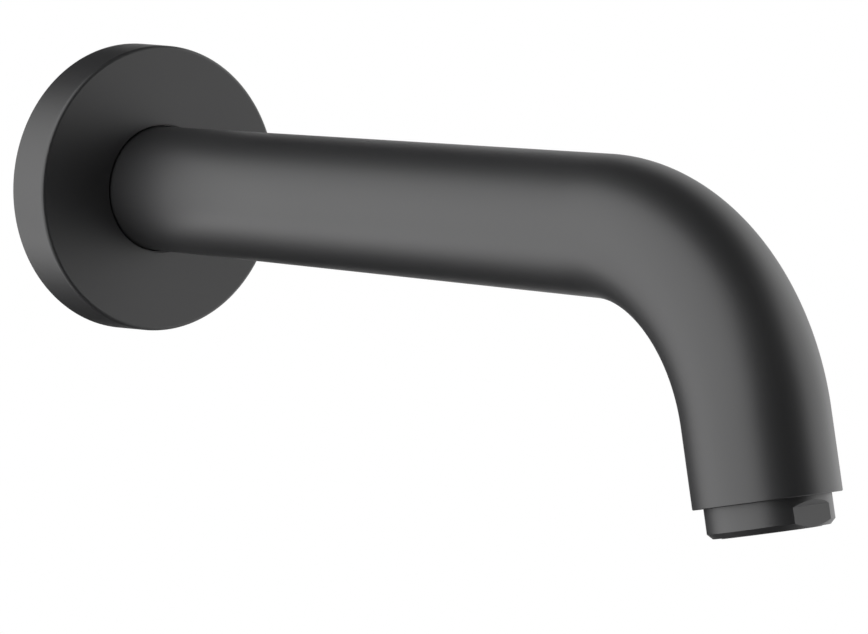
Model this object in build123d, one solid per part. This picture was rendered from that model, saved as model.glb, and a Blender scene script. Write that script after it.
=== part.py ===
from build123d import *
from math import cos, hypot, radians, sin, tan
import os

# Bath spout for a wall. The origin is on the spout's axis in the plane of the finished wall.
# The spout reaches along -Y, +Z is up and the threaded nipple goes into the wall along +Y.
# All lengths are in millimetres, all angles in degrees.

# Spout tube
tube_dia = 28.0
tube_wall = 3.0
straight_length = 160.2      # from the wall plane to the start of the bend
bend_radius = 42.0           # of the centre line, one and a half diameters
bend_angle = 78.0            # so that the mouth tips a little forward
leg_length = 15.4            # straight piece after the bend
tube_end_break = 0.15        # takes the sharp edges off both ends

# Wall flange
flange_dia = 65.0
flange_depth = 11.5
flange_draft = 2.0           # the rim narrows towards the front
flange_edge_round = 0.8
flange_plate = 3.0
flange_rim = 3.5
tube_hole_gap = 0.25
hub_wall = 3.0
hub_setback = 1.5
hub_ring_section = 2.0       # rubber ring that holds the flange on the tube
hub_ring_squeeze = 0.2
hub_ring_inset = 3.3         # behind the flange's face
hub_groove_width = 2.6

# Soft ring between the flange's rim and the wall
wall_seal_seat = 2.0         # width of the step in the rim that holds it
wall_seal_width = 3.0
wall_seal_depth = 2.0

# Connection nipple with a half inch pipe thread
pipe_thread_dia = 20.955
pipe_thread_length = 13.0
pipe_thread_lead = 1.0
thread_relief_depth = 1.2
thread_relief_width = 1.5
collar_shoulder = 1.5225     # beyond the thread, so the collar is 24 mm across its flats
collar_thickness = 3.0
collar_bevel = 0.6
collar_pocket_gap = 0.6
nipple_wall = 2.5
nipple_edge_break = 0.6
face_seal_thickness = 1.5

# Bush brazed into the tube's back end, which slides over the nipple
bush_wall = 1.85
bush_lead = 1.0
bush_past_nipple = 1.0
braze_gap = 0.05
spigot_gap = 0.1
tube_setback = 0.3           # between the collar and the tube's back end

# Rubber rings on the nipple
nipple_ring_section = 1.7
nipple_ring_squeeze = 0.1
nipple_groove_width = 2.6
nipple_ring_pitch = 6.0
rear_ring_from_screw = 9.0
nipple_nose = 5.0            # from the front ring to the nipple's end

# Set screw on the underside, which locks the spout on the nipple
screw_dia = 5.0
screw_thread_gap = 0.05
screw_from_flange = 5.5
screw_recess = 0.4
screw_point_dia = 2.5
screw_edge_break = 0.3
screw_socket = 2.5           # across flats
screw_socket_depth = 2.5
lock_groove_depth = 1.0
lock_groove_floor = 2.8

# Threaded mouth and the housing screwed into it
mouth_wall = 1.9
mouth_thread_gap = 0.1
mouth_thread_depth = 8.0
mouth_lead = 0.4
housing_reach = 5.75         # below the tube's end
housing_wall = 2.25
housing_thread_lead = 0.5
housing_ledge = 1.0
housing_inset = 0.05         # of the plain band inside the thread's diameter
housing_bevel = 1.0
neck_depth = 0.6
neck_width = 0.7             # a thread run-out, just inside the tube's end
flat_depth = 0.95            # two flats, 22 mm apart
flat_start = 1.8             # below the tube's end

# Rubber ring between the housing and the seat in the mouth
seat_ring_thickness = 1.6
seat_ring_width = 2.8
seat_ring_gap = 0.3

# Flow insert inside the housing
insert_air_gap = 0.4
insert_wall = 0.85
insert_overhang = 0.15       # below the housing
insert_flange_gap = 0.1
shelf_width = 0.7
shelf_height = 0.6
air_window_count = 4
air_window_width = 5.0
air_window_height = 1.6
air_window_drop = 0.6        # below the former's shelf
inner_fit_gap = 0.05         # around the pieces held in the insert
former_thickness = 1.2
former_drop = 1.2            # below the top of the insert
former_boss = 2.0
former_hole_dia = 1.0
former_edge = 1.9            # from the rim to the outer row of holes
former_row_pitch = 2.6
former_outer_holes = 18
former_inner_holes = 9
strainer_foot = 0.6
strainer_brim = 0.9
strainer_rise = 3.2
strainer_wall = 0.7
strainer_crown = 1.6
strainer_slot_count = 12
strainer_slot_width = 0.7
comb_cell = 1.6              # across flats
comb_web = 0.4
comb_depth = 2.2
comb_recess = 0.3
comb_border = 0.3

# Rubber rings stay this far from the walls that squeeze them
ring_play = 0.02

# Places along the spout's axis, measured from the wall
thread_relief_at = face_seal_thickness - thread_relief_width
collar_front = face_seal_thickness + collar_thickness
tube_start = collar_front + tube_setback
hub_ring_at = flange_depth - hub_ring_inset
screw_at = flange_depth + screw_from_flange
rear_ring_at = screw_at + rear_ring_from_screw
front_ring_at = rear_ring_at + nipple_ring_pitch
nipple_end = front_ring_at + nipple_nose
bush_end = nipple_end + bush_past_nipple

# Radii at the wall end
tube_radius = tube_dia / 2
waterway_radius = tube_radius - tube_wall
bush_radius = waterway_radius - braze_gap
socket_radius = bush_radius - bush_wall
spigot_radius = socket_radius - spigot_gap
nipple_groove_radius = socket_radius - nipple_ring_section + nipple_ring_squeeze
lock_groove_radius = spigot_radius - lock_groove_depth
pipe_radius = pipe_thread_dia / 2
nipple_bore_radius = min(spigot_radius, pipe_radius) - nipple_wall
collar_apothem = pipe_radius + collar_shoulder
collar_corner = collar_apothem / cos(radians(30))
pocket_radius = collar_corner + collar_pocket_gap
tube_hole_radius = tube_radius + tube_hole_gap
hub_groove_radius = tube_radius + hub_ring_section - hub_ring_squeeze
hub_radius = max(tube_hole_radius, pocket_radius) + hub_wall
flange_radius = flange_dia / 2
face_radius = flange_radius - flange_depth * tan(radians(flange_draft))
rim_radius = flange_radius - flange_rim
seal_seat_radius = rim_radius + wall_seal_seat

# Radii at the mouth
mouth_radius = tube_radius - mouth_wall
housing_radius = mouth_radius - mouth_thread_gap
band_radius = housing_radius - housing_inset
housing_bore_radius = housing_radius - housing_wall
insert_radius = housing_bore_radius - insert_air_gap
insert_bore_radius = insert_radius - insert_wall
insert_flange_radius = housing_bore_radius + housing_ledge
ledge_radius = insert_flange_radius + insert_flange_gap
inner_radius = insert_bore_radius - inner_fit_gap

# Places along the mouth's axis, measured from the tube's end, positive downstream
housing_top = seat_ring_thickness - mouth_thread_depth
insert_shoulder = housing_top + housing_ledge
former_top = housing_top + former_drop
former_base = former_top + former_thickness
insert_end = housing_reach + insert_overhang
comb_end = insert_end - comb_recess
comb_top = comb_end - comb_depth

# Local Z runs from the wall along the straight part of the spout, local Y is up
at_wall = Plane(origin=(0, 0, 0), x_dir=(1, 0, 0), z_dir=(0, -1, 0))

# Local Z runs out of the mouth, local Y points to the outside of the bend
turn = radians(bend_angle)
mouth_reach = straight_length + bend_radius * sin(turn) + leg_length * cos(turn)
mouth_drop = bend_radius * (1 - cos(turn)) + leg_length * sin(turn)
at_mouth = Plane(
    origin=(0, -mouth_reach, -mouth_drop),
    x_dir=(1, 0, 0),
    z_dir=(0, -cos(turn), -sin(turn)),
)

# Local Z runs down through the set screw, starting on the spout's axis
at_screw = Plane(origin=(0, -screw_at, 0), x_dir=(1, 0, 0), z_dir=(0, 0, -1))

# Local X runs along the straight part of the spout, local Y is up
bending_plane = Plane(origin=(0, 0, 0), x_dir=(0, -1, 0), z_dir=(-1, 0, 0))


def turned(points, rounded=()):
    """A solid turned about the local Z axis from its corners, each a radius and a place."""
    profile = make_face(Polyline(*points, close=True))
    for corner, radius in rounded:
        profile = fillet(profile.vertices().sort_by_distance(corner)[0], radius)
    return revolve(Plane.XZ * profile, Axis.Z)


def bar(radius, start, end):
    """A plain round bar between two places on the local Z axis."""
    upright = Cylinder(radius, end - start, align=(Align.CENTER, Align.CENTER, Align.MIN))
    return Pos(0, 0, start) * upright


def rubber_ring(inner, outer, place):
    """A ring of round section, squeezed between two walls."""
    section = (outer - inner) / 2
    return Pos(0, 0, place) * Torus((inner + outer) / 2, section - ring_play)


def hexagon_bar(apothem, start, end):
    """A hexagonal bar between two places on the local Z axis."""
    outline = RegularPolygon(apothem, 6, major_radius=False)
    return Pos(0, 0, start) * extrude(outline, end - start)


def bent_rod(radius):
    """A round rod along the tube's centre line."""
    run = Line((tube_start, 0), (straight_length, 0))
    bend = JernArc(run @ 1, run % 1, bend_radius, -bend_angle)
    leg = Line(bend @ 1, bend @ 1 + (bend % 1) * leg_length)
    centre_line = bending_plane * Wire([run.edge(), bend.edge(), leg.edge()])
    section = at_wall * Pos(0, 0, tube_start) * Circle(radius)
    return sweep(section, path=centre_line)


def broken_edge(place, inward):
    """The sharp ring taken off the outer edge of an end of the tube."""
    return turned([
        (tube_radius - tube_end_break, place),
        (tube_radius + tube_end_break, place - inward * tube_end_break),
        (tube_radius + tube_end_break, place + inward * 2 * tube_end_break),
    ])


def mouth_recess():
    """The threaded recess in the mouth, with a lead at its edge."""
    return turned([
        (0, -mouth_thread_depth),
        (mouth_radius, -mouth_thread_depth),
        (mouth_radius, -mouth_lead),
        (mouth_radius + 2 * mouth_lead, mouth_lead),
        (0, mouth_lead),
    ])


def screw_hole():
    """The tapped hole for the set screw, from the spout's axis downwards."""
    return at_screw * bar(screw_dia / 2 + screw_thread_gap, 0, tube_dia)


def spout_tube():
    """The bent tube with its threaded mouth and the hole for the set screw."""
    tube = bent_rod(tube_radius) - bent_rod(waterway_radius)
    tube -= at_mouth * mouth_recess()
    tube -= at_mouth * broken_edge(0, -1)
    tube -= at_wall * broken_edge(tube_start, 1)
    return tube - screw_hole()


def inlet_bush():
    """The turned bush in the tube's back end, with a lead for the rubber rings."""
    bush = turned([
        (socket_radius + bush_lead, tube_start),
        (bush_radius, tube_start),
        (bush_radius, bush_end),
        (socket_radius, bush_end),
        (socket_radius, tube_start + bush_lead),
    ])
    return at_wall * bush - screw_hole()


def wall_flange():
    """The round cover: hollow behind, with a hub for the tube and a step for the soft ring."""
    cover = turned(
        [
            (tube_hole_radius, flange_depth),
            (face_radius, flange_depth),
            (flange_radius, 0),
            (seal_seat_radius, 0),
            (seal_seat_radius, wall_seal_depth),
            (rim_radius, wall_seal_depth),
            (rim_radius, flange_depth - flange_plate),
            (hub_radius, flange_depth - flange_plate),
            (hub_radius, hub_setback),
            (pocket_radius, hub_setback),
            (pocket_radius, tube_start),
            (tube_hole_radius, tube_start),
        ],
        rounded=[((face_radius, flange_depth), flange_edge_round)],
    )
    half = hub_groove_width / 2
    groove = bar(hub_groove_radius, hub_ring_at - half, hub_ring_at + half)
    return at_wall * (cover - groove)


def hub_ring():
    """The rubber ring in the hub's groove, squeezed on the tube."""
    return at_wall * rubber_ring(tube_radius, hub_groove_radius, hub_ring_at)


def wall_seal():
    """The soft ring in the step of the rim, flush with the wall."""
    outer = seal_seat_radius - ring_play
    return at_wall * turned([
        (outer - wall_seal_width, 0),
        (outer, 0),
        (outer, wall_seal_depth),
        (outer - wall_seal_width, wall_seal_depth),
    ])


def nipple_outline():
    """The turned shape of the nipple, without the bore, the collar and the grooves."""
    thread_end = -pipe_thread_length
    return turned([
        (0, thread_end),
        (pipe_radius - pipe_thread_lead, thread_end),
        (pipe_radius, thread_end + pipe_thread_lead),
        (pipe_radius, thread_relief_at),
        (pipe_radius - thread_relief_depth, thread_relief_at),
        (pipe_radius - thread_relief_depth, face_seal_thickness),
        (spigot_radius, collar_front),
        (spigot_radius, nipple_end - nipple_edge_break),
        (spigot_radius - nipple_edge_break, nipple_end),
        (0, nipple_end),
    ])


def nipple_collar():
    """The hexagonal collar, with its corners turned down on both sides."""
    blank = turned([
        (0, face_seal_thickness),
        (collar_apothem, face_seal_thickness),
        (collar_corner, face_seal_thickness + collar_bevel),
        (collar_corner, collar_front - collar_bevel),
        (collar_apothem, collar_front),
        (0, collar_front),
    ])
    return blank & hexagon_bar(collar_apothem, face_seal_thickness, collar_front)


def nipple_groove(place):
    """The groove for a rubber ring on the nipple."""
    half = nipple_groove_width / 2
    outside = bar(socket_radius, place - half, place + half)
    return outside - bar(nipple_groove_radius, place - half, place + half)


def lock_groove():
    """The groove with sloping sides that the set screw's point stands in."""
    half = lock_groove_floor / 2
    rise = socket_radius - lock_groove_radius
    return turned([
        (lock_groove_radius, screw_at - half),
        (lock_groove_radius, screw_at + half),
        (socket_radius, screw_at + half + rise),
        (socket_radius, screw_at - half - rise),
    ])


def connection_nipple():
    """The nipple: pipe thread, hexagonal collar and a spigot with three grooves."""
    nipple = nipple_outline() + nipple_collar()
    nipple -= bar(nipple_bore_radius, -pipe_thread_length, nipple_end)
    nipple -= nipple_groove(rear_ring_at) + nipple_groove(front_ring_at)
    return at_wall * (nipple - lock_groove())


def face_seal():
    """The flat ring between the collar and the fitting in the wall."""
    inner = pipe_radius + spigot_gap
    return at_wall * turned([
        (inner, 0),
        (collar_apothem, 0),
        (collar_apothem, face_seal_thickness),
        (inner, face_seal_thickness),
    ])


def nipple_ring(place):
    """A rubber ring on the nipple, squeezed in the bush."""
    return at_wall * rubber_ring(nipple_groove_radius, socket_radius, place)


def set_screw():
    """The headless screw with a hexagonal socket and a flat point."""
    tip = lock_groove_radius + screw_thread_gap
    head = tube_radius - screw_recess
    radius = screw_dia / 2
    point = screw_point_dia / 2
    screw = turned([
        (0, tip),
        (point, tip),
        (radius, tip + radius - point),
        (radius, head - screw_edge_break),
        (radius - screw_edge_break, head),
        (0, head),
    ])
    return at_screw * (screw - hexagon_bar(screw_socket / 2, head - screw_socket_depth, head))


def flat_cutter():
    """What is milled away for one spanner flat, with a sloping run-out above it."""
    distance = band_radius - flat_depth
    past = flat_depth + neck_depth
    side = make_face(Polyline(
        (distance, flat_start),
        (distance + past, flat_start - past),
        (distance + past, housing_reach + past),
        (distance, housing_reach + past),
        close=True,
    ))
    return extrude(Plane.YZ * side, tube_dia / 2, both=True)


def mouth_housing():
    """The housing: thread, neck, plain band with two flats, and a ledge for the insert."""
    neck = band_radius - neck_depth
    housing = turned([
        (housing_bore_radius, housing_reach),
        (band_radius - housing_bevel, housing_reach),
        (band_radius, housing_reach - housing_bevel),
        (band_radius, 0),
        (neck, 0),
        (neck, -neck_width),
        (housing_radius, -neck_width),
        (housing_radius, housing_top + housing_thread_lead),
        (housing_radius - housing_thread_lead, housing_top),
        (ledge_radius, housing_top),
        (ledge_radius, insert_shoulder),
        (housing_bore_radius, insert_shoulder),
    ])
    front = flat_cutter()
    return at_mouth * (housing - front - Rot(0, 0, 180) * front)


def seat_ring():
    """The flat rubber ring that the housing presses on its seat in the mouth."""
    outer = mouth_radius - seat_ring_gap
    return at_mouth * turned([
        (outer - seat_ring_width, -mouth_thread_depth),
        (outer, -mouth_thread_depth),
        (outer, housing_top),
        (outer - seat_ring_width, housing_top),
    ])


def air_windows():
    """The windows through which the insert draws air, below the former's shelf."""
    top = former_base + shelf_height + air_window_drop
    along = (Align.MIN, Align.CENTER, Align.MIN)
    window = Box(insert_radius, air_window_width, air_window_height, align=along)
    return [
        spot * Pos(insert_radius / 2, 0, top) * window
        for spot in PolarLocations(0, air_window_count)
    ]


def flow_insert():
    """The thin sleeve with its flange, its air windows and two inner shelves."""
    inner = insert_bore_radius - shelf_width
    sleeve = turned([
        (insert_bore_radius, housing_top),
        (insert_flange_radius, housing_top),
        (insert_flange_radius, insert_shoulder),
        (insert_radius, insert_shoulder),
        (insert_radius, insert_end),
        (insert_bore_radius, insert_end),
        (insert_bore_radius, comb_top),
        (inner, comb_top),
        (inner, comb_top - shelf_height),
        (insert_bore_radius, comb_top - shelf_height),
        (insert_bore_radius, former_base + shelf_height),
        (inner, former_base + shelf_height),
        (inner, former_base),
        (insert_bore_radius, former_base),
    ])
    return at_mouth * (sleeve - air_windows())


def former_row(radius, count):
    """One ring of jet holes through the former."""
    hole = bar(former_hole_dia / 2, former_top, former_base)
    return [spot * hole for spot in PolarLocations(radius, count, start_angle=90)]


def jet_former():
    """The disc that splits the flow into jets, with a low cone in the middle."""
    disc = turned([
        (0, former_base),
        (inner_radius, former_base),
        (inner_radius, former_top),
        (former_boss, former_top),
        (0, former_top - former_boss / 2),
    ])
    outer_row = inner_radius - former_edge
    disc -= former_row(outer_row, former_outer_holes)
    disc -= former_row(outer_row - former_row_pitch, former_inner_holes)
    return at_mouth * disc


def strainer_slots():
    """The radial slots in the strainer's dome."""
    length = inner_radius - strainer_brim - strainer_wall - strainer_crown
    slot = Box(length, strainer_slot_width, 2 * strainer_rise, align=(Align.MIN, Align.CENTER, Align.CENTER))
    place = former_top - strainer_foot - strainer_rise
    return [
        spot * Pos(strainer_crown, 0, place) * slot
        for spot in PolarLocations(0, strainer_slot_count)
    ]


def strainer():
    """The slotted dome that keeps grit out of the jet former."""
    foot_top = former_top - strainer_foot
    skirt = inner_radius - strainer_brim
    sphere_radius = (skirt ** 2 + strainer_rise ** 2) / (2 * strainer_rise)
    centre = foot_top - strainer_rise + sphere_radius
    dome = Sphere(sphere_radius) - Sphere(sphere_radius - strainer_wall)
    dome = Pos(0, 0, centre) * dome & bar(inner_radius, foot_top - 2 * strainer_rise, foot_top)
    foot = bar(inner_radius, foot_top, former_top) - bar(skirt - strainer_wall, foot_top, former_top)
    return at_mouth * (dome + foot - strainer_slots())


def comb_cells():
    """The centres of the hexagonal cells that lie whole inside the comb's border."""
    pitch = comb_cell + comb_web
    reach = inner_radius - comb_border - comb_cell / 2 / cos(radians(30))
    rows = int(inner_radius / pitch) + 1
    spots = [
        (row * pitch * cos(radians(30)), (step + (row % 2) / 2) * pitch)
        for row in range(-rows, rows + 1)
        for step in range(-rows, rows + 1)
    ]
    return [spot for spot in spots if hypot(*spot) < reach]


def outlet_comb():
    """The disc of hexagonal cells that straightens the stream as it leaves."""
    cell = RegularPolygon(comb_cell / 2, 6, major_radius=False)
    disc = Circle(inner_radius) - [Pos(*spot) * cell for spot in comb_cells()]
    return at_mouth * Pos(0, 0, comb_top) * extrude(disc, comb_depth)


pieces = {
    "spout_tube": spout_tube(),
    "inlet_bush": inlet_bush(),
    "wall_flange": wall_flange(),
    "hub_ring": hub_ring(),
    "wall_seal": wall_seal(),
    "connection_nipple": connection_nipple(),
    "face_seal": face_seal(),
    "nipple_ring_rear": nipple_ring(rear_ring_at),
    "nipple_ring_front": nipple_ring(front_ring_at),
    "set_screw": set_screw(),
    "mouth_housing": mouth_housing(),
    "seat_ring": seat_ring(),
    "flow_insert": flow_insert(),
    "jet_former": jet_former(),
    "strainer": strainer(),
    "outlet_comb": outlet_comb(),
}

os.makedirs("parts", exist_ok=True)
for name, piece in pieces.items():
    piece.label = name
    export_step(piece, f"parts/{name}.step")
    print(name, round(piece.volume, 1))
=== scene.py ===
import math

import bpy
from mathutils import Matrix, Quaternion, Vector


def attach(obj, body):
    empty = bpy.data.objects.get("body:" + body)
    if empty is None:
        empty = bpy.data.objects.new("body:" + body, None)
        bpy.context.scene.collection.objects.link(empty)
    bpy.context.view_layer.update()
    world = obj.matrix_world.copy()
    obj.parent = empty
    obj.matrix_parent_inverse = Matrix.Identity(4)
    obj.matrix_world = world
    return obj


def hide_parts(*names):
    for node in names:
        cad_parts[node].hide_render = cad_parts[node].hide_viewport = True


bl_info = {
    "name": "Bath Spout",
    "version": (1, 0, 0),
    "blender": (4, 5, 0),
    "location": "3D View > Sidebar > Bath Spout",
    "description": "Dresses a wall-mounted bath spout with its finished surfaces",
    "category": "Object",
}

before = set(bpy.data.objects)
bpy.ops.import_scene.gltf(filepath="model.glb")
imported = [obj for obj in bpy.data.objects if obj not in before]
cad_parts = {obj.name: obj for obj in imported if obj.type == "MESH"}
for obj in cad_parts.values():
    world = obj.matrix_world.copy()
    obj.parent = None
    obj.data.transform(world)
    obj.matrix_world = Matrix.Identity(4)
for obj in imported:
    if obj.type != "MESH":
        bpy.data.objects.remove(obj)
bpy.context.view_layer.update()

MM = 0.001

# How many sides a full circle has on each kind of form.
ROUND_STEPS = 160
MOUTH_STEPS = 128
THREAD_STEPS = 96
HOLE_STEPS = 48

# How many steps the bend takes outside, where it shows, and inside.
OUTER_BEND_STEPS = 96
INNER_BEND_STEPS = 48

# Points that lie closer than this are one point.
MERGE = 0.002 * MM

# How far a point may lie from an edge and still be picked as one of its points.
PICK = 0.05 * MM

# Directions in the row's frame, which has the wall at zero and the mouth along -Y.
OUTWARD = Vector((0.0, -1.0, 0.0))
SIDEWAYS = Vector((1.0, 0.0, 0.0))
UPWARD = Vector((0.0, 0.0, 1.0))

# The camera, solved from the outlines in the photograph.
CAMERA_LENS = 144.47
CAMERA_SENSOR = 36
CAMERA_NEAR = 0.01
CAMERA_PLACE = Vector((-452.873, -656.437, 50.003)) * MM
CAMERA_TURN = (math.radians(84.2445), math.radians(0.0344), math.radians(-39.5377))

# The softboxes lie in two screens, left and right, that face the middle of the spout.
SPOUT_MIDDLE = Vector((0, -0.1, -0.01))
LEFT_SCREEN = Vector((-1.160, 0.198, 0.067))
RIGHT_SCREEN = Vector((1.180, -0.262, -0.158))

# Each softbox has a name, a screen, a shift across and up in it, a width, a height and a brightness.
SOFTBOXES = (
    ("Softbox left", LEFT_SCREEN, (0.475, 0.85), 2.85, 3.3, "left"),
    ("Softbox left rear", LEFT_SCREEN, (-1.425, 0.85), 0.95, 3.3, "left_rear"),
    ("Softbox left low", LEFT_SCREEN, (-0.95, -1.65), 1.9, 1.7, "left_low"),
    ("Softbox right", RIGHT_SCREEN, (-1.195, 0), 1.52, 2.64, "right"),
    ("Softbox right rear", RIGHT_SCREEN, (0, 0), 0.87, 2.64, "right_rear"),
)

# Each flag has a name, a place, the way it faces, a width and a height. Three narrow slats
# beside the rear flag let its end fade, which gives the tube's edges a light rim.
FLAGS = (
    ("flag_front", (-0.215, -1.7, 0), (0, 1, 0), 2.87, 3.4),
    ("flag_back", (0.20, 1.5, 0), (0, -1, 0), 1.44, 3.4),
    ("flag_back_slat_1", (0.97, 1.5, 0), (0, -1, 0), 0.055, 3.4),
    ("flag_back_slat_2", (1.07, 1.5, 0), (0, -1, 0), 0.055, 3.4),
    ("flag_back_slat_3", (1.17, 1.5, 0), (0, -1, 0), 0.055, 3.4),
    ("flag_above", (0.3, -0.1, 1.3), (0, 0, -1), 1.6, 3.0),
    ("flag_below", (0, -0.1, -1.3), (0, 0, 1), 1.0, 3.0),
)

# The floor is a disc far below the spout. The softboxes face the spout and leave the floor
# grey, so it gives off some light, but only for the rays that see it.
FLOOR_RADIUS = 4
FLOOR_DROP = 2.25
FLOOR_GLOW = 0.35


def linear(hex_colour):
    """A colour written as sRGB hex, such as 2b2b2c, as linear red, green and blue."""
    channels = [int(hex_colour[i:i + 2], 16) / 255 for i in (0, 2, 4)]
    return tuple(c / 12.92 if c <= 0.04045 else ((c + 0.055) / 1.055) ** 2.4 for c in channels)


def length(name, description, value):
    """A length that the user can change, given in millimetres."""
    return bpy.props.FloatProperty(
        name=name, description=description, default=value * MM, unit="LENGTH")


def colour(name, description, hex_colour):
    """A colour that the user can change, given as sRGB hex."""
    return bpy.props.FloatVectorProperty(
        name=name, description=description, default=linear(hex_colour),
        size=3, subtype="COLOR", min=0, max=1)


def brightness(name, description, value):
    """The brightness of a softbox that the user can change."""
    return bpy.props.FloatProperty(
        name=name, description=description, default=value, min=0, subtype="FACTOR")


class SpoutSizes(bpy.types.PropertyGroup):
    """Sizes of the new pieces, the solid model's but for the cover's depth and taper."""

    tube_diameter: length("Tube diameter", "Outside of the bent tube", 28)
    tube_wall: length("Tube wall", "Thickness of the bent tube", 3)
    tube_start: length("Tube start", "From the wall to the tube's back end", 4.8)
    straight_length: length("Straight length", "From the wall to the start of the bend", 160.2)
    bend_radius: length("Bend radius", "Radius of the tube's centre line in the bend", 42)
    bend_angle: bpy.props.FloatProperty(
        name="Bend angle", description="How far the mouth is turned down",
        default=math.radians(78), subtype="ANGLE")
    leg_length: length("Leg length", "Straight piece between the bend and the mouth", 15.4)
    recess_radius: length("Recess radius", "Threaded recess in the mouth", 12.1)
    recess_depth: length("Recess depth", "How deep the recess goes into the mouth", 8)
    screw_place: length("Screw place", "From the wall to the set screw underneath", 17)
    screw_hole: length("Screw hole", "Diameter of the tapped hole for the set screw", 5.1)
    flange_diameter: length("Flange diameter", "Outside of the round cover at the wall", 65)
    flange_depth: length("Flange depth", "How far the cover stands off the wall", 11.4)
    flange_taper: length("Flange taper", "How much smaller the cover's radius is in front", 0.3)
    flange_round: length("Flange edge", "Radius of the cover's front edge", 0.8)
    flange_hole: length("Flange hole", "Radius of the hole that the tube passes through", 14.25)
    housing_radius: length("Housing radius", "Plain band of the housing in the mouth", 11.95)
    housing_bore: length("Housing bore", "Radius of the housing's bore", 9.75)
    housing_reach: length("Housing reach", "How far the housing stands out of the mouth", 5.75)
    flat_distance: length("Flat distance", "From the mouth's axis to each spanner flat", 11)
    flat_start: length("Flat start", "From the tube's end to the flats", 1.8)
    thread_radius: length("Thread radius", "Crests of the half inch pipe thread", 10.4775)
    thread_depth: length("Thread depth", "From the crests to the roots of the thread", 1.162)
    thread_pitch: length("Thread pitch", "From one crest to the next", 1.814)
    thread_length: length("Thread length", "How far the nipple goes into the wall", 13)


class SpoutColours(bpy.types.PropertyGroup):
    """Colours of the finishes."""

    coat: colour("Coat", "Matt black powder coat of the tube and the flange", "29292a")
    lacquer: colour("Lacquer", "Satin black lacquer of the housing in the mouth", "2b2b2c")
    brass: colour("Brass", "Bare turned brass of the connection", "c9a765")
    steel: colour("Steel", "Stainless steel of the set screw", "9b9b9c")
    rubber: colour("Rubber", "Moulded black rubber of the rings", "1d1d1e")
    plastic: colour("Plastic", "Dark grey plastic of the flow insert", "38383a")
    floor: colour("Floor", "Plain pale floor", "f4f4f4")
    flag: colour("Flags", "Black cloth of the flags around the spout", "0a0a0a")


class SpoutLight(bpy.types.PropertyGroup):
    """Brightness of the softboxes, where 1 is as bright as the white surroundings."""

    left: brightness("Left softbox", "The large softbox on the left", 1.56)
    left_rear: brightness("Left rear softbox", "The softbox on the left, nearer to the wall", 0.66)
    left_low: brightness("Left low softbox", "The softbox low on the left", 2.03)
    right: brightness("Right softbox", "The softbox on the right", 1.12)
    right_rear: brightness("Right rear softbox", "The softbox on the right, nearer to the wall", 0.82)


def mouth_frame(sizes):
    """The mouth's centre and its outward direction."""
    turn = sizes.bend_angle
    reach = sizes.straight_length + sizes.bend_radius * math.sin(turn) + sizes.leg_length * math.cos(turn)
    drop = sizes.bend_radius * (1 - math.cos(turn)) + sizes.leg_length * math.sin(turn)
    return Vector((0, -reach, -drop)), Vector((0, -math.cos(turn), -math.sin(turn)))


def start_ring(name, radius, centre, axis, steps, twist=0.0):
    """A new object with one open ring of edges, left in edit mode with the ring selected."""
    bpy.ops.object.select_all(action="DESELECT")
    turn = axis.to_track_quat("Z", "Y") @ Quaternion((0, 0, 1), twist)
    bpy.ops.mesh.primitive_circle_add(
        vertices=steps, radius=radius, location=centre, rotation=turn.to_euler())
    piece = bpy.context.object
    piece.name = piece.data.name = name
    bpy.ops.object.transform_apply(location=True, rotation=True, scale=True)
    bpy.ops.object.mode_set(mode="EDIT")
    bpy.ops.mesh.select_all(action="SELECT")
    return piece


def carry_ring(shift):
    """Extrudes the selected ring and moves the copy."""
    bpy.ops.mesh.extrude_region_move(TRANSFORM_OT_translate={"value": shift})


def size_ring(factor, centre):
    """Scales the selected ring about a point."""
    bpy.ops.transform.resize(value=(factor, factor, factor), center_override=centre)


def carry_along(origin, axis, stations):
    """Extrudes the selected ring from the first station to the others, each a place and a radius."""
    place, radius = stations[0]
    for next_place, next_radius in stations[1:]:
        carry_ring(axis * (next_place - place))
        if next_radius != radius:
            size_ring(next_radius / radius, origin + axis * next_place)
        place, radius = next_place, next_radius


def turned_walls(name, origin, axis, stations, steps):
    """A closed turned piece: a ring goes from station to station and back to the first."""
    place, radius = stations[0]
    piece = start_ring(name, radius, origin + axis * place, axis, steps)
    carry_along(origin, axis, stations + stations[:1])
    close_and_leave()
    return piece


def turned_bar(name, origin, axis, stations, steps, twist=0.0):
    """A solid turned piece: a filled ring goes from station to station."""
    place, radius = stations[0]
    piece = start_ring(name, radius, origin + axis * place, axis, steps, twist)
    bpy.ops.mesh.edge_face_add()
    carry_along(origin, axis, stations)
    close_and_leave()
    return piece


def close_and_leave():
    """Merges doubled points, turns the faces outwards and leaves edit mode."""
    bpy.ops.mesh.select_all(action="SELECT")
    bpy.ops.mesh.remove_doubles(threshold=MERGE)
    bpy.ops.mesh.normals_make_consistent(inside=False)
    bpy.ops.object.mode_set(mode="OBJECT")


def select_only(piece):
    """Leaves one object selected and active."""
    bpy.ops.object.select_all(action="DESELECT")
    piece.select_set(True)
    bpy.context.view_layer.objects.active = piece


def select_points(piece, wanted):
    """Enters edit mode with only the points selected that the test accepts."""
    select_only(piece)
    bpy.ops.object.mode_set(mode="EDIT")
    bpy.ops.mesh.select_mode(type="VERT")
    bpy.ops.mesh.select_all(action="DESELECT")
    bpy.ops.object.mode_set(mode="OBJECT")
    for point in piece.data.vertices:
        point.select = wanted(point.co)
    bpy.ops.object.mode_set(mode="EDIT")


def soften_edges(piece, width, angle):
    """Rounds the sharp edges of a piece with an applied bevel of two segments."""
    select_only(piece)
    bevel = piece.modifiers.new("Edge rounding", "BEVEL")
    bevel.width = width
    bevel.segments = 2
    bevel.limit_method = "ANGLE"
    bevel.angle_limit = math.radians(angle)
    bpy.ops.object.modifier_apply(modifier=bevel.name)


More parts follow.
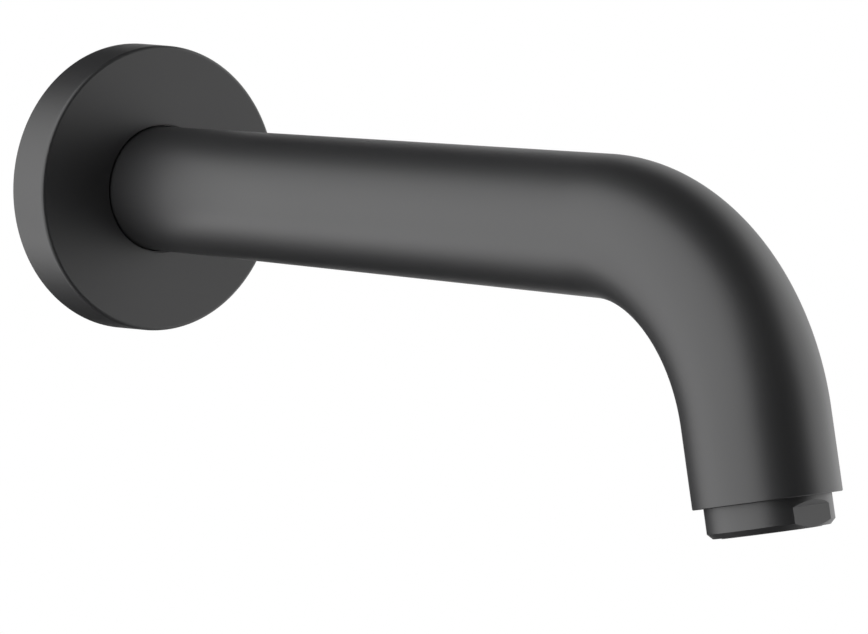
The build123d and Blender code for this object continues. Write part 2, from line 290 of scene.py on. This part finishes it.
def combine(piece, tool, operation):
    """Cuts, joins or intersects the piece with the tool and removes the tool."""
    select_only(piece)
    change = piece.modifiers.new("Combine", "BOOLEAN")
    change.operation = operation
    change.solver = "EXACT"
    change.object = tool
    bpy.ops.object.modifier_apply(modifier=change.name)
    bpy.data.objects.remove(tool)


def finish_piece(piece, finish_name, node, angle=30):
    """Smooths and paints a piece, attaches it to the root body and hides the solid of the model that it
    stands for.
    """
    select_only(piece)
    bpy.ops.object.shade_smooth_by_angle(angle=math.radians(angle))
    even = piece.modifiers.new("Flat faces stay flat", "WEIGHTED_NORMAL")
    even.mode = "FACE_AREA"
    even.weight = 100
    even.keep_sharp = True
    bpy.ops.object.modifier_apply(modifier=even.name)
    piece.data.materials.clear()
    piece.data.materials.append(finish(finish_name))
    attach(piece, "root")
    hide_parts(node)


def add_node(tree, kind, settings=None, links=None):
    """Adds a shader node, sets its properties and inputs, and links other sockets to its inputs."""
    node = tree.nodes.new(kind)
    for key, value in (settings or {}).items():
        if key in node.inputs:
            node.inputs[key].default_value = value
        else:
            setattr(node, key, value)
    for key, socket in (links or {}).items():
        tree.links.new(socket, node.inputs[key])
    return node


def new_material(name):
    """An empty material with its shader, its output and the piece's own coordinates."""
    material = bpy.data.materials.new(name)
    material.use_nodes = True
    tree = material.node_tree
    tree.nodes.clear()
    shader = add_node(tree, "ShaderNodeBsdfPrincipled")
    output = add_node(tree, "ShaderNodeOutputMaterial")
    tree.links.new(shader.outputs["BSDF"], output.inputs["Surface"])
    place = add_node(tree, "ShaderNodeTexCoord").outputs["Object"]
    return material, tree, shader, place


def seen_rays(tree):
    """One where the camera, a gloss or a glass looks, and zero for the light that falls on things."""
    path = add_node(tree, "ShaderNodeLightPath")
    seen = add_node(tree, "ShaderNodeMath", {"operation": "MAXIMUM"})
    tree.links.new(path.outputs["Is Camera Ray"], seen.inputs[0])
    tree.links.new(path.outputs["Is Glossy Ray"], seen.inputs[1])
    seen_through = add_node(tree, "ShaderNodeMath", {"operation": "MAXIMUM"})
    tree.links.new(seen.outputs["Value"], seen_through.inputs[0])
    tree.links.new(path.outputs["Is Transmission Ray"], seen_through.inputs[1])
    return seen_through.outputs["Value"]


def tint(base, factor=1.0):
    """The base colour, made darker or paler, with nothing see-through."""
    return (*(factor * c for c in base), 1)


def link_surface(tree, shader, shade, gloss, bump):
    """Links a finish's colour, roughness and relief to its shader."""
    tree.links.new(shade.outputs["Color"], shader.inputs["Base Color"])
    tree.links.new(gloss.outputs["Result"], shader.inputs["Roughness"])
    tree.links.new(bump.outputs["Normal"], shader.inputs["Normal"])


def powder_coat(base):
    """Epoxy and polyester powder coat, sprayed and baked on brass.

    It gives the eye an even, matt black with a soft broad gloss. The baked grains leave a
    faint orange peel, about 1.2 mm from crest to crest, and a fine grit of about 0.24 mm,
    and the gloss drifts a little over a few centimetres, as sprayed powder does.
    """
    material, tree, shader, place = new_material("Epoxy polyester powder coat, matt black")
    shader.inputs["IOR"].default_value = 1.57
    peel = add_node(tree, "ShaderNodeTexNoise", {"Scale": 1 / (1.2 * MM), "Detail": 1.0}, {"Vector": place})
    grit = add_node(tree, "ShaderNodeTexNoise", {"Scale": 1 / (0.24 * MM), "Detail": 2.0}, {"Vector": place})
    drift = add_node(tree, "ShaderNodeTexNoise", {"Scale": 1 / (45 * MM), "Detail": 1.0}, {"Vector": place})
    shade = add_node(tree, "ShaderNodeMixRGB",
                     {"Color1": tint(base, 0.93), "Color2": tint(base, 1.07)},
                     {"Fac": grit.outputs["Fac"]})
    gloss = add_node(tree, "ShaderNodeMapRange",
                     {"To Min": 0.40, "To Max": 0.46}, {"Value": drift.outputs["Fac"]})
    low = add_node(tree, "ShaderNodeBump",
                   {"Strength": 0.25, "Distance": 0.02 * MM}, {"Height": peel.outputs["Fac"]})
    fine = add_node(tree, "ShaderNodeBump", {"Strength": 0.3, "Distance": 0.006 * MM},
                    {"Height": grit.outputs["Fac"], "Normal": low.outputs["Normal"]})
    link_surface(tree, shader, shade, gloss, fine)
    return material


def satin_lacquer(base):
    """Black lacquer on machined brass, dipped and baked.

    It gives the eye a satin black. Thinner than the powder coat, it has no orange peel and
    only a fine grain, about 0.2 mm from crest to crest. Its gloss drifts a little over 6 mm.
    """
    material, tree, shader, place = new_material("Baked lacquer, satin black")
    shader.inputs["IOR"].default_value = 1.57
    grain = add_node(tree, "ShaderNodeTexNoise", {"Scale": 1 / (0.2 * MM), "Detail": 2.0}, {"Vector": place})
    drift = add_node(tree, "ShaderNodeTexNoise", {"Scale": 1 / (6 * MM), "Detail": 2.0}, {"Vector": place})
    shade = add_node(tree, "ShaderNodeMixRGB",
                     {"Color1": tint(base, 0.9), "Color2": tint(base, 1.1)},
                     {"Fac": drift.outputs["Fac"]})
    gloss = add_node(tree, "ShaderNodeMapRange",
                     {"To Min": 0.40, "To Max": 0.46}, {"Value": drift.outputs["Fac"]})
    bump = add_node(tree, "ShaderNodeBump",
                    {"Strength": 0.3, "Distance": 0.005 * MM}, {"Height": grain.outputs["Fac"]})
    link_surface(tree, shader, shade, gloss, bump)
    return material


def turned_brass(base):
    """Free-cutting brass, turned and left bare.

    It gives the eye a warm, slightly dulled metal with fine rings from the tool, 0.12 mm
    apart, drawn at 0.25 mm so that they show, and faint brown clouds where it was handled.
    """
    material, tree, shader, place = new_material("Free-cutting brass, turned")
    shader.inputs["Metallic"].default_value = 1.0
    rings = add_node(tree, "ShaderNodeTexWave",
                     {"wave_type": "BANDS", "bands_direction": "Y", "Scale": 0.314 / (0.25 * MM),
                      "Distortion": 0.4, "Detail": 1.0, "Detail Scale": 2.0}, {"Vector": place})
    cloud = add_node(tree, "ShaderNodeTexNoise", {"Scale": 1 / (9 * MM), "Detail": 3.0}, {"Vector": place})
    shade = add_node(tree, "ShaderNodeMixRGB",
                     {"Color1": tint(base, 0.72), "Color2": tint(base)},
                     {"Fac": cloud.outputs["Fac"]})
    gloss = add_node(tree, "ShaderNodeMapRange",
                     {"To Min": 0.38, "To Max": 0.24}, {"Value": cloud.outputs["Fac"]})
    bump = add_node(tree, "ShaderNodeBump",
                    {"Strength": 0.35, "Distance": 0.01 * MM}, {"Height": rings.outputs["Fac"]})
    link_surface(tree, shader, shade, gloss, bump)
    return material


def stainless_steel(base):
    """Stainless steel of the set screw, cold formed.

    It gives the eye a grey metal with a dull, slightly pitted surface, 0.4 mm from pit to pit.
    """
    material, tree, shader, place = new_material("Stainless steel, cold formed")
    shader.inputs["Metallic"].default_value = 1.0
    pits = add_node(tree, "ShaderNodeTexNoise", {"Scale": 1 / (0.4 * MM), "Detail": 3.0}, {"Vector": place})
    shade = add_node(tree, "ShaderNodeMixRGB",
                     {"Color1": tint(base, 0.8), "Color2": tint(base)},
                     {"Fac": pits.outputs["Fac"]})
    gloss = add_node(tree, "ShaderNodeMapRange",
                     {"To Min": 0.42, "To Max": 0.28}, {"Value": pits.outputs["Fac"]})
    bump = add_node(tree, "ShaderNodeBump",
                    {"Strength": 0.3, "Distance": 0.008 * MM}, {"Height": pits.outputs["Fac"]})
    link_surface(tree, shader, shade, gloss, bump)
    return material


def moulded_rubber(base):
    """EPDM rubber, pressed in a mould.

    It gives the eye a dead black with hardly any gloss and a powdery bloom in soft patches
    of about 4 mm. The mould's fine texture is 0.3 mm from crest to crest.
    """
    material, tree, shader, place = new_material("EPDM rubber, moulded")
    shader.inputs["IOR"].default_value = 1.52
    grain = add_node(tree, "ShaderNodeTexNoise", {"Scale": 1 / (0.3 * MM), "Detail": 2.0}, {"Vector": place})
    bloom = add_node(tree, "ShaderNodeTexNoise", {"Scale": 1 / (4 * MM), "Detail": 3.0}, {"Vector": place})
    shade = add_node(tree, "ShaderNodeMixRGB",
                     {"Color1": tint(base), "Color2": tint(base, 1.7)},
                     {"Fac": bloom.outputs["Fac"]})
    gloss = add_node(tree, "ShaderNodeMapRange",
                     {"To Min": 0.70, "To Max": 0.85}, {"Value": bloom.outputs["Fac"]})
    bump = add_node(tree, "ShaderNodeBump",
                    {"Strength": 0.4, "Distance": 0.02 * MM}, {"Height": grain.outputs["Fac"]})
    link_surface(tree, shader, shade, gloss, bump)
    return material


def moulded_acetal(base):
    """Acetal plastic, injection moulded.

    It gives the eye a dark grey with a waxy sheen. The mould was spark eroded, which leaves
    a fine even grain, 0.4 mm from crest to crest.
    """
    material, tree, shader, place = new_material("Acetal, injection moulded")
    shader.inputs["IOR"].default_value = 1.48
    grain = add_node(tree, "ShaderNodeTexNoise", {"Scale": 1 / (0.4 * MM), "Detail": 2.0}, {"Vector": place})
    flow = add_node(tree, "ShaderNodeTexNoise", {"Scale": 1 / (7 * MM), "Detail": 1.0}, {"Vector": place})
    shade = add_node(tree, "ShaderNodeMixRGB",
                     {"Color1": tint(base, 0.85), "Color2": tint(base, 1.15)},
                     {"Fac": flow.outputs["Fac"]})
    gloss = add_node(tree, "ShaderNodeMapRange",
                     {"To Min": 0.34, "To Max": 0.44}, {"Value": grain.outputs["Fac"]})
    bump = add_node(tree, "ShaderNodeBump",
                    {"Strength": 0.3, "Distance": 0.008 * MM}, {"Height": grain.outputs["Fac"]})
    link_surface(tree, shader, shade, gloss, bump)
    return material


def floor_paint(base):
    """Matt emulsion on the studio floor, rolled on.

    It gives the eye a plain pale surface with a faint stipple, 6 mm from crest to crest.
    """
    material, tree, shader, place = new_material("Emulsion paint, pale matt")
    stipple = add_node(tree, "ShaderNodeTexNoise", {"Scale": 1 / (6 * MM), "Detail": 2.0}, {"Vector": place})
    shade = add_node(tree, "ShaderNodeMixRGB",
                     {"Color1": tint(base, 0.985), "Color2": tint(base)},
                     {"Fac": stipple.outputs["Fac"]})
    shader.inputs["Roughness"].default_value = 0.9
    tree.links.new(shade.outputs["Color"], shader.inputs["Base Color"])
    shader.inputs["Emission Color"].default_value = tint(base)
    glow = add_node(tree, "ShaderNodeMath", {"operation": "MULTIPLY"})
    tree.links.new(seen_rays(tree), glow.inputs[0])
    glow.inputs[1].default_value = FLOOR_GLOW
    tree.links.new(glow.outputs["Value"], shader.inputs["Emission Strength"])
    return material


def black_cloth(base):
    """Black molton cloth on the flags, which throws back next to no light."""
    material, tree, shader, place = new_material("Molton cloth, black")
    weave = add_node(tree, "ShaderNodeTexNoise", {"Scale": 1 / (2 * MM), "Detail": 1.0}, {"Vector": place})
    shade = add_node(tree, "ShaderNodeMixRGB",
                     {"Color1": tint(base, 0.6), "Color2": tint(base)},
                     {"Fac": weave.outputs["Fac"]})
    shader.inputs["Roughness"].default_value = 1.0
    shader.inputs["Specular IOR Level"].default_value = 0.0
    tree.links.new(shade.outputs["Color"], shader.inputs["Base Color"])
    return material


FINISHES = {
    "coat": powder_coat,
    "lacquer": satin_lacquer,
    "brass": turned_brass,
    "steel": stainless_steel,
    "rubber": moulded_rubber,
    "plastic": moulded_acetal,
    "floor": floor_paint,
    "flag": black_cloth,
}
MADE = {}


def finish(name):
    """The material of a finish, made when a piece first asks for it."""
    if name not in MADE:
        MADE[name] = FINISHES[name](getattr(bpy.context.scene.spout_colours, name))
    return MADE[name]


def ring_centre(piece):
    """The middle of the points that are selected in edit mode."""
    bpy.ops.object.mode_set(mode="OBJECT")
    points = [v.co.copy() for v in piece.data.vertices if v.select]
    bpy.ops.object.mode_set(mode="EDIT")
    return sum(points, Vector()) / len(points)


def build_tube(sizes):
    """The bent tube: one ring carried out along the outside, round the mouth and back inside."""
    outer = sizes.tube_diameter / 2
    bore = outer - sizes.tube_wall
    recess = sizes.recess_radius
    lip = 0.15 * MM
    lead = 0.4 * MM
    by_screw = 3 * MM
    start = OUTWARD * sizes.tube_start
    bend_at = OUTWARD * sizes.straight_length
    pivot = bend_at - UPWARD * sizes.bend_radius
    mouth, out = mouth_frame(sizes)
    piece = start_ring("bent_tube", outer - lip, start, OUTWARD, ROUND_STEPS)
    carry_ring(OUTWARD * lip)
    size_ring(outer / (outer - lip), start + OUTWARD * lip)
    place = sizes.tube_start + lip
    for stop in (sizes.screw_place - by_screw, sizes.screw_place + by_screw, sizes.straight_length):
        carry_ring(OUTWARD * (stop - place))
        place = stop
    bpy.ops.mesh.spin(steps=OUTER_BEND_STEPS, angle=-sizes.bend_angle, center=pivot, axis=SIDEWAYS)
    carry_ring(out * (sizes.leg_length - lip))
    for place, ratio in (
        (0, (outer - lip) / outer),
        (0, (recess + lead) / (outer - lip)),
        (-lead, recess / (recess + lead)),
        (-sizes.recess_depth, 1),
        (-sizes.recess_depth, bore / recess),
    ):
        carry_ring(mouth + out * place - ring_centre(piece))
        size_ring(ratio, mouth + out * place)
    carry_ring(out * (sizes.recess_depth - sizes.leg_length))
    bpy.ops.mesh.spin(steps=INNER_BEND_STEPS, angle=sizes.bend_angle, center=pivot, axis=SIDEWAYS)
    place = sizes.straight_length
    for stop in (sizes.screw_place + by_screw, sizes.screw_place - by_screw, sizes.tube_start):
        carry_ring(OUTWARD * (stop - place))
        place = stop
    carry_ring(Vector())
    size_ring((outer - lip) / bore, start)
    close_and_leave()
    drill = turned_bar("screw_drill", OUTWARD * sizes.screw_place, -UPWARD,
                       [(0, sizes.screw_hole / 2), (sizes.tube_diameter, sizes.screw_hole / 2)], HOLE_STEPS)
    combine(piece, drill, "DIFFERENCE")
    return piece


def build_flange(sizes):
    """The round cover, hollow behind, with its hub, its seal step and its rounded front edge."""
    front = sizes.flange_depth
    rim = sizes.flange_diameter / 2
    face = rim - sizes.flange_taper
    hole = sizes.flange_hole
    plate_back = front - 2.9 * MM
    # The hub's outer wall, and the pocket in it that clears the nipple's collar.
    hub, pocket = hole + 3.206 * MM, hole + 0.206 * MM
    hub_back, pocket_end = 1.5 * MM, sizes.tube_start
    groove = sizes.tube_diameter / 2 + 1.8 * MM
    groove_at, groove_half = front - 3.2 * MM, 1.3 * MM
    seat, seat_depth, inner = rim - 1.5 * MM, 2 * MM, rim - 3.5 * MM
    relief_width, relief_depth, spare = 0.3 * MM, 0.6 * MM, 1 * MM
    piece = turned_walls("wall_cover", Vector(), OUTWARD, [
        (front, hole),
        (front, face),
        (0, rim),
        (0, seat),
        (seat_depth, seat),
        (seat_depth, inner),
        (plate_back, inner),
        (plate_back, hub),
        (hub_back, hub),
        (hub_back, pocket),
        (pocket_end, pocket),
        (pocket_end, hole),
        (groove_at - groove_half, hole),
        (groove_at - groove_half, groove),
        (groove_at + groove_half, groove),
        (groove_at + groove_half, hole),
    ], ROUND_STEPS)
    select_points(piece, lambda p: abs(-p.y - front) < PICK and abs(math.hypot(p.x, p.z) - face) < PICK)
    bpy.ops.mesh.bevel(offset=sizes.flange_round, offset_type="OFFSET", segments=8, affect="EDGES")
    bpy.ops.object.mode_set(mode="OBJECT")
    soften_edges(piece, width=0.15 * MM, angle=35)
    relief = turned_bar("edge_relief", Vector(), OUTWARD, [
        (front - relief_depth, hole + relief_width), (front + spare, hole + relief_width)], ROUND_STEPS)
    combine(piece, relief, "DIFFERENCE")
    return piece


def flat_cutter(sizes, turned_round):
    """The block that is milled away for one spanner flat, with a sloping run-out above it."""
    mouth, out = mouth_frame(sizes)
    deep = 2 * MM
    tall = sizes.housing_reach - sizes.flat_start + 2 * deep
    bpy.ops.object.select_all(action="DESELECT")
    bpy.ops.mesh.primitive_cube_add(size=1)
    cutter = bpy.context.object
    bpy.ops.object.mode_set(mode="EDIT")
    bpy.ops.mesh.select_all(action="SELECT")
    bpy.ops.transform.resize(value=(sizes.tube_diameter, deep, tall), center_override=(0, 0, 0))
    middle = Vector((0, sizes.flat_distance + deep / 2, sizes.flat_start - deep + tall / 2))
    bpy.ops.transform.translate(value=middle)
    bpy.ops.mesh.bisect(
        plane_co=(0, sizes.flat_distance, sizes.flat_start), plane_no=(0, -1, -1),
        use_fill=True, clear_outer=True)
    bpy.ops.object.mode_set(mode="OBJECT")
    turn = out.to_track_quat("Z", "Y")
    flip = Quaternion((0, 0, 1), math.pi if turned_round else 0)
    cutter.rotation_euler = (turn @ flip).to_euler()
    cutter.location = mouth
    bpy.ops.object.transform_apply(location=True, rotation=True, scale=True)
    return cutter


def build_housing(sizes):
    """The housing in the mouth: thread, neck, plain band, lower bevel, and two spanner flats."""
    mouth, out = mouth_frame(sizes)
    band, bore, reach = sizes.housing_radius, sizes.housing_bore, sizes.housing_reach
    top, lead, bevel = -6.4 * MM, 0.5 * MM, 1 * MM
    thread, neck, run_out = band + 0.05 * MM, band - 0.6 * MM, -0.7 * MM
    ledge, shoulder = bore + 1.1 * MM, top + 1 * MM
    piece = turned_walls("outlet_housing", mouth, out, [
        (reach, bore),
        (reach, band - bevel),
        (reach - bevel, band),
        (0, band),
        (0, neck),
        (run_out, neck),
        (run_out, thread),
        (top + lead, thread),
        (top, thread - lead),
        (top, ledge),
        (shoulder, ledge),
        (shoulder, bore),
    ], MOUTH_STEPS)
    for turned_round in (False, True):
        combine(piece, flat_cutter(sizes, turned_round), "DIFFERENCE")
    soften_edges(piece, width=0.08 * MM, angle=12)
    return piece


def thread_ridge(sizes):
    """The helical ridge of the pipe thread, its flanks at about 55 degrees and its crest eased."""
    pitch, depth = sizes.thread_pitch, sizes.thread_depth
    root = sizes.thread_radius - depth
    buried = 0.1 * MM
    foot, shoulder, top = pitch * 5 / 6, 0.46 * MM, 0.2 * MM
    start = Vector((root, sizes.thread_length + pitch, 0))
    bpy.ops.object.select_all(action="DESELECT")
    bpy.ops.mesh.primitive_plane_add(size=buried, location=start - SIDEWAYS * buried / 2)
    ridge = bpy.context.object
    bpy.ops.object.transform_apply(location=True, rotation=True, scale=True)
    bpy.ops.object.mode_set(mode="EDIT")
    bpy.ops.mesh.select_all(action="SELECT")
    bpy.ops.transform.resize(value=(1, foot / buried, 1), center_override=start)
    bpy.ops.object.mode_set(mode="OBJECT")
    select_points(ridge, lambda p: p.x > root - buried / 2)
    wide = foot
    for rise, narrow in ((depth * 0.9, shoulder), (depth * 0.1, top)):
        carry_ring(SIDEWAYS * rise)
        bpy.ops.transform.resize(value=(1, narrow / wide, 1), center_override=start)
        wide = narrow
    bpy.ops.mesh.select_all(action="SELECT")
    bpy.ops.mesh.dissolve_limited(angle_limit=math.radians(1))
    bpy.ops.mesh.select_all(action="SELECT")
    bpy.ops.mesh.delete(type="ONLY_FACE")
    bpy.ops.object.mode_set(mode="OBJECT")
    screw = ridge.modifiers.new("Helix", "SCREW")
    screw.axis = "Y"
    screw.steps = screw.render_steps = THREAD_STEPS
    screw.iterations = math.ceil(sizes.thread_length / pitch) + 2
    screw.screw_offset = -pitch
    bpy.ops.object.modifier_apply(modifier=screw.name)
    bpy.ops.object.mode_set(mode="EDIT")
    bpy.ops.mesh.select_all(action="SELECT")
    bpy.ops.mesh.remove_doubles(threshold=MERGE)
    bpy.ops.mesh.fill_holes(sides=0)
    close_and_leave()
    return ridge


def build_nipple(sizes):
    """The nipple: a turned body with its grooves, a hexagonal collar and the pipe thread."""
    crest = sizes.thread_radius
    root = crest - sizes.thread_depth
    back, bore = -sizes.thread_length, 6.5 * MM
    neck, spigot, ring_groove, lock = crest - 1.2 * MM, 9 * MM, 7.5 * MM, 8 * MM
    collar_back, collar_front, chamfer = 1.5 * MM, 4.5 * MM, 0.6 * MM
    stations = [
        (back, bore), (back, root), (0, root), (0, neck), (collar_back, neck), (collar_front, spigot)]
    # Along the spigot, in millimetres from the wall: the lock groove, two ring grooves and the end.
    stations += [(place * MM, radius) for place, radius in (
        (14.6, spigot), (15.6, lock), (18.4, lock), (19.4, spigot),
        (24.7, spigot), (24.7, ring_groove), (27.3, ring_groove), (27.3, spigot),
        (30.7, spigot), (30.7, ring_groove), (33.3, ring_groove), (33.3, spigot),
        (36.4, spigot), (37, spigot - 0.6 * MM), (37, bore))]
    piece = turned_walls("wall_nipple", Vector(), OUTWARD, stations, MOUTH_STEPS)
    ridge = thread_ridge(sizes)
    lead, room = 1 * MM, 0.15 * MM
    envelope = turned_bar("thread_envelope", Vector(), OUTWARD, [
        (back, crest - lead), (back + lead + room, crest + room), (-MERGE, crest + room)], MOUTH_STEPS)
    combine(ridge, envelope, "INTERSECT")
    combine(piece, ridge, "UNION")
    corner, flat, over = 13.856 * MM, 12 * MM, 0.5 * MM
    collar = turned_bar("collar", Vector(), OUTWARD, [
        (collar_back, flat), (collar_back + chamfer, corner),
        (collar_front - chamfer, corner), (collar_front, flat)], MOUTH_STEPS)
    hexagon = turned_bar("hexagon", Vector(), OUTWARD, [
        (collar_back - over, corner), (collar_front + over, corner)], 6, twist=math.radians(30))
    combine(collar, hexagon, "INTERSECT")
    combine(piece, collar, "UNION")
    soften_edges(piece, width=0.08 * MM, angle=40)
    return piece


class SPOUT_OT_tube(bpy.types.Operator):
    """Models the bent tube with its mouth and the hole for the set screw"""

    bl_idname = "spout.tube"
    bl_label = "Bent Tube"

    def execute(self, context):
        finish_piece(build_tube(context.scene.spout_sizes), "coat", "spout_tube")
        return {"FINISHED"}


class SPOUT_OT_flange(bpy.types.Operator):
    """Models the round cover at the wall"""

    bl_idname = "spout.flange"
    bl_label = "Wall Flange"

    def execute(self, context):
        finish_piece(build_flange(context.scene.spout_sizes), "coat", "wall_flange")
        return {"FINISHED"}


class SPOUT_OT_housing(bpy.types.Operator):
    """Models the housing that is screwed into the mouth"""

    bl_idname = "spout.housing"
    bl_label = "Outlet Housing"

    def execute(self, context):
        finish_piece(build_housing(context.scene.spout_sizes), "lacquer", "mouth_housing", angle=12)
        return {"FINISHED"}


class SPOUT_OT_nipple(bpy.types.Operator):
    """Models the nipple with its pipe thread and its collar"""

    bl_idname = "spout.nipple"
    bl_label = "Connection Nipple"

    def execute(self, context):
        finish_piece(build_nipple(context.scene.spout_sizes), "brass", "connection_nipple", angle=35)
        return {"FINISHED"}


class SPOUT_OT_inner_parts(bpy.types.Operator):
    """Gives the rings, the bush, the set screw and the flow insert their finishes"""

    bl_idname = "spout.inner_parts"
    bl_label = "Rings, Screw and Insert"

    def execute(self, context):
        for finish_name, nodes in (
            ("brass", ("inlet_bush",)),
            ("steel", ("set_screw",)),
            ("rubber", ("hub_ring", "wall_seal", "face_seal",
                        "nipple_ring_rear", "nipple_ring_front", "seat_ring")),
            ("plastic", ("flow_insert", "jet_former", "strainer", "outlet_comb")),
        ):
            for node in nodes:
                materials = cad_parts[node].data.materials
                materials.clear()
                materials.append(finish(finish_name))
        return {"FINISHED"}


def softbox(name, screen, shift, width, height, bright):
    """A soft rectangular light, shifted across a screen that faces the spout's middle.

    Its power is set so that a brightness of 1 looks as bright as the white surroundings.
    """
    light = bpy.data.lights.new(name, "AREA")
    light.shape = "RECTANGLE"
    light.size, light.size_y = width, height
    light.energy = bright * math.pi * width * height
    lamp = bpy.data.objects.new(name, light)
    bpy.context.scene.collection.objects.link(lamp)
    turn = (SPOUT_MIDDLE - screen).to_track_quat("-Z", "Y")
    lamp.location = screen + turn @ Vector((*shift, 0))
    lamp.rotation_euler = turn.to_euler()


def black_flag(name, place, direction, width, height):
    """A flag of black cloth, which the spout's gloss shows as a dark side.

    The camera doesn't see it, and it throws no shadow.
    """
    bpy.ops.object.select_all(action="DESELECT")
    turn = Vector(direction).to_track_quat("Z", "Y").to_euler()
    bpy.ops.mesh.primitive_plane_add(size=1, location=place, rotation=turn)
    flag = bpy.context.object
    flag.name = flag.data.name = name
    flag.scale = (width, height, 1)
    bpy.ops.object.transform_apply(location=True, rotation=True, scale=True)
    flag.data.materials.append(finish("flag"))
    flag.visible_camera = flag.visible_shadow = flag.visible_transmission = False


def white_surroundings(scene):
    """A world that is plain white where the camera, a gloss or a glass looks at it."""
    world = scene.world or bpy.data.worlds.new("World")
    scene.world = world
    world.use_nodes = True
    tree = world.node_tree
    tree.nodes.clear()
    background = add_node(tree, "ShaderNodeBackground", {"Color": (1, 1, 1, 1)},
                          {"Strength": seen_rays(tree)})
    output = add_node(tree, "ShaderNodeOutputWorld")
    tree.links.new(background.outputs["Background"], output.inputs["Surface"])


def set_camera(scene):
    """The camera, where the photograph was taken from."""
    camera = bpy.data.objects.new("Camera", bpy.data.cameras.new("Camera"))
    scene.collection.objects.link(camera)
    camera.data.lens = CAMERA_LENS
    camera.data.sensor_width = CAMERA_SENSOR
    camera.data.clip_start = CAMERA_NEAR
    camera.location = CAMERA_PLACE
    camera.rotation_euler = CAMERA_TURN
    scene.camera = camera


def pale_floor():
    """The plain pale floor of the studio."""
    bpy.ops.object.select_all(action="DESELECT")
    bpy.ops.mesh.primitive_circle_add(
        vertices=128, radius=FLOOR_RADIUS, fill_type="NGON", location=(0, 0, -FLOOR_DROP))
    floor = bpy.context.object
    floor.name = floor.data.name = "studio_floor"
    bpy.ops.object.transform_apply(location=True, rotation=True, scale=True)
    floor.data.materials.append(finish("floor"))


class SPOUT_OT_stage(bpy.types.Operator):
    """Sets the floor, the soft lights, the flags, the white surroundings and the camera"""

    bl_idname = "spout.stage"
    bl_label = "Stage"

    def execute(self, context):
        scene = context.scene
        set_camera(scene)
        scene.view_settings.view_transform = "Standard"
        white_surroundings(scene)
        for name, screen, shift, width, height, bright in SOFTBOXES:
            softbox(name, screen, shift, width, height, getattr(scene.spout_light, bright))
        for name, place, direction, width, height in FLAGS:
            black_flag(name, place, direction, width, height)
        pale_floor()
        return {"FINISHED"}


class SPOUT_PT_panel(bpy.types.Panel):
    """The spout's sizes, colours and pieces"""

    bl_idname = "SPOUT_PT_panel"
    bl_label = "Bath Spout"
    bl_space_type = "VIEW_3D"
    bl_region_type = "UI"
    bl_category = "Bath Spout"

    def draw(self, context):
        scene = context.scene
        for title, group in (
            ("Sizes", scene.spout_sizes), ("Colours", scene.spout_colours), ("Light", scene.spout_light),
        ):
            box = self.layout.box()
            box.label(text=title)
            for name in group.__annotations__:
                box.prop(group, name)
        box = self.layout.box()
        box.label(text="Pieces")
        for operator in OPERATORS:
            box.operator(operator.bl_idname)


GROUPS = (SpoutSizes, SpoutColours, SpoutLight)
OPERATORS = (
    SPOUT_OT_tube, SPOUT_OT_flange, SPOUT_OT_housing, SPOUT_OT_nipple, SPOUT_OT_inner_parts, SPOUT_OT_stage,
)
CLASSES = GROUPS + OPERATORS + (SPOUT_PT_panel,)


def register():
    for item in CLASSES:
        bpy.utils.register_class(item)
    bpy.types.Scene.spout_sizes = bpy.props.PointerProperty(type=SpoutSizes)
    bpy.types.Scene.spout_colours = bpy.props.PointerProperty(type=SpoutColours)
    bpy.types.Scene.spout_light = bpy.props.PointerProperty(type=SpoutLight)


def unregister():
    del bpy.types.Scene.spout_light
    del bpy.types.Scene.spout_colours
    del bpy.types.Scene.spout_sizes
    for item in reversed(CLASSES):
        bpy.utils.unregister_class(item)


def main():
    register()
    bpy.ops.spout.tube()
    bpy.ops.spout.flange()
    bpy.ops.spout.housing()
    bpy.ops.spout.nipple()
    bpy.ops.spout.inner_parts()
    bpy.ops.spout.stage()


if __name__ == "__main__":
    main()
